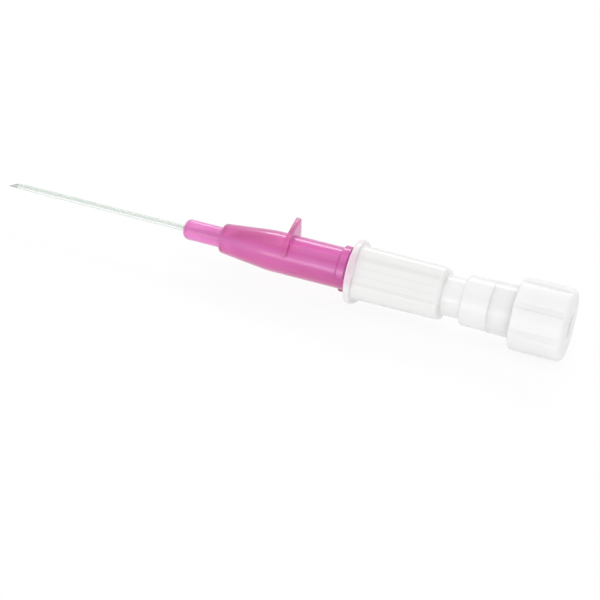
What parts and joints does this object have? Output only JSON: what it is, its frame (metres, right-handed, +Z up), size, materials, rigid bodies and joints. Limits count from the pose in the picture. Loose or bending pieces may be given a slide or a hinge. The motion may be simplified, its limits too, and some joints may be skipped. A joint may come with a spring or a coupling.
{
  "type": "iv cannula",
  "caption": "Pen-type intravenous cannula: thin catheter on a bevelled needle, transparent pink hub with a push-off plate, frosted grip with flash chamber, and a ribbed vented plug.",
  "frame": {"origin": "on the surface that the cannula lies on, below the middle of its overall length", "axes": "+X along the needle axis from the point to the grip cap, +Z up, push-off plate pointing up and towards +Y"},
  "size_m": [0.0974, 0.0118, 0.0119],
  "materials": {
    "steel": "bright drawn stainless tube",
    "adhesive": "clear cured adhesive",
    "frosted_plastic": "frosted translucent moulding",
    "catheter_plastic": "clear smooth fluoropolymer",
    "pink_plastic": "transparent pink gloss moulding",
    "filter": "white porous membrane",
    "white_plastic": "satin off-white moulding"
  },
  "bodies": {
    "needle_set": {"needle": "steel", "needle_adhesive": "adhesive", "needle_hub": "frosted_plastic"},
    "catheter": {"catheter_tube": "catheter_plastic", "ferrule": "steel", "catheter_hub": "pink_plastic"},
    "plug": {"plug_body": "frosted_plastic", "filter_disc": "filter", "plug_cap": "white_plastic"}
  },
  "joints": [
    {"name": "catheter_slide", "type": "slide", "parent": "needle_set", "child": "catheter", "axis": [-1, 0, 0], "range_m": [0, 0.065]},
    {"name": "plug_pull", "type": "slide", "parent": "needle_set", "child": "plug", "axis": [1, 0, 0], "range_m": [0, 0.009]}
  ]
}
